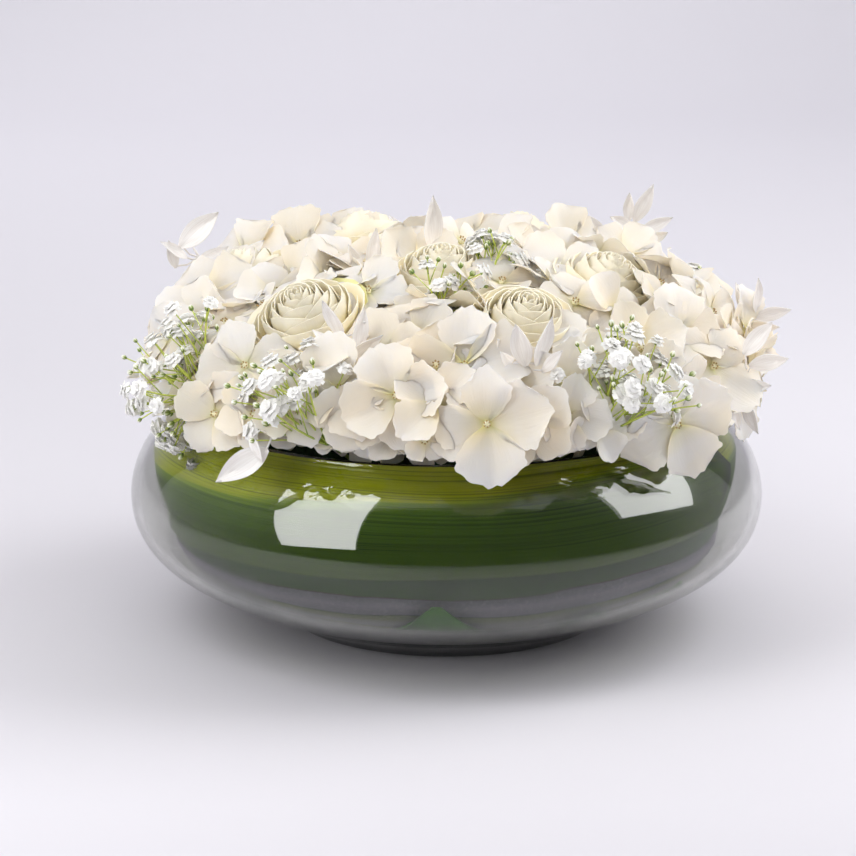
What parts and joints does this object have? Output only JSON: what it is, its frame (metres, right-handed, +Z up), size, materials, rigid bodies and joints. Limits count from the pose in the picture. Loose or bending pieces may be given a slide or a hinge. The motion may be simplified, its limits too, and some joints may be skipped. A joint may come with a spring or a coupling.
{
  "type": "floral table centerpiece",
  "caption": "Low round glass bowl lined with green leaves and filled with a mound of white hydrangeas, cream roses, gypsophila and bleached ruscus.",
  "frame": {"origin": "centre of the flat underside of the bowl's foot", "axes": "+Z up out of the foot; -Y is the front that the picture shows, +X its right-hand side"},
  "size_m": [0.3172, 0.3065, 0.2066],
  "materials": {
    "glass": "clear mouth-blown glass, fire-polished",
    "striped_leaf": "fresh leaf with a bright striped edge and a deep green middle",
    "grey_leaf": "grey-green underside of a leaf seen through wet glass",
    "foam": "soaked green floral foam",
    "green_stem": "fresh cut stem",
    "white_sepal": "fresh white sepals with fine veins",
    "cream_petal": "fresh cream petals, satin",
    "gypsophila": "fresh double florets on thin lime-green twigs",
    "bleached_leaf": "bleached, dried leaves, slightly translucent"
  },
  "bodies": {
    "root": {"glass_bowl": "glass", "lining_leaf_1": "striped_leaf", "lining_leaf_2": "striped_leaf", "lining_leaf_3": "striped_leaf", "leaf_cut_1": "striped_leaf", "leaf_cut_2": "striped_leaf", "leaf_cut_3": "striped_leaf", "leaf_cut_4": "striped_leaf", "under_leaf_1": "grey_leaf", "under_leaf_2": "grey_leaf", "floral_foam": "foam", "hydrangea_1_stem": "green_stem", "hydrangea_2_stem": "green_stem", "hydrangea_3_stem": "green_stem", "hydrangea_4_stem": "green_stem", "hydrangea_5_stem": "green_stem", "hydrangea_6_stem": "green_stem", "hydrangea_7_stem": "green_stem", "hydrangea_8_stem": "green_stem", "rose_1_stem": "green_stem", "rose_2_stem": "green_stem", "rose_3_stem": "green_stem", "rose_4_stem": "green_stem", "rose_5_stem": "green_stem", "rose_6_stem": "green_stem", "rose_7_stem": "green_stem", "hydrangea_1": "white_sepal", "hydrangea_2": "white_sepal", "hydrangea_3": "white_sepal", "hydrangea_4": "white_sepal", "hydrangea_5": "white_sepal", "hydrangea_6": "white_sepal", "hydrangea_7": "white_sepal", "hydrangea_8": "white_sepal", "rose_1": "cream_petal", "rose_2": "cream_petal", "rose_3": "cream_petal", "rose_4": "cream_petal", "rose_5": "cream_petal", "rose_6": "cream_petal", "rose_7": "cream_petal", "gypsophila_1": "gypsophila", "gypsophila_2": "gypsophila", "gypsophila_3": "gypsophila", "gypsophila_4": "gypsophila", "gypsophila_5": "gypsophila", "gypsophila_6": "gypsophila", "gypsophila_7": "gypsophila", "gypsophila_8": "gypsophila", "ruscus_1": "bleached_leaf", "ruscus_2": "bleached_leaf", "ruscus_3": "bleached_leaf", "ruscus_4": "bleached_leaf", "ruscus_5": "bleached_leaf", "ruscus_6": "bleached_leaf", "ruscus_7": "bleached_leaf", "ruscus_8": "bleached_leaf", "ruscus_9": "bleached_leaf", "ruscus_10": "bleached_leaf"}
  },
  "joints": []
}
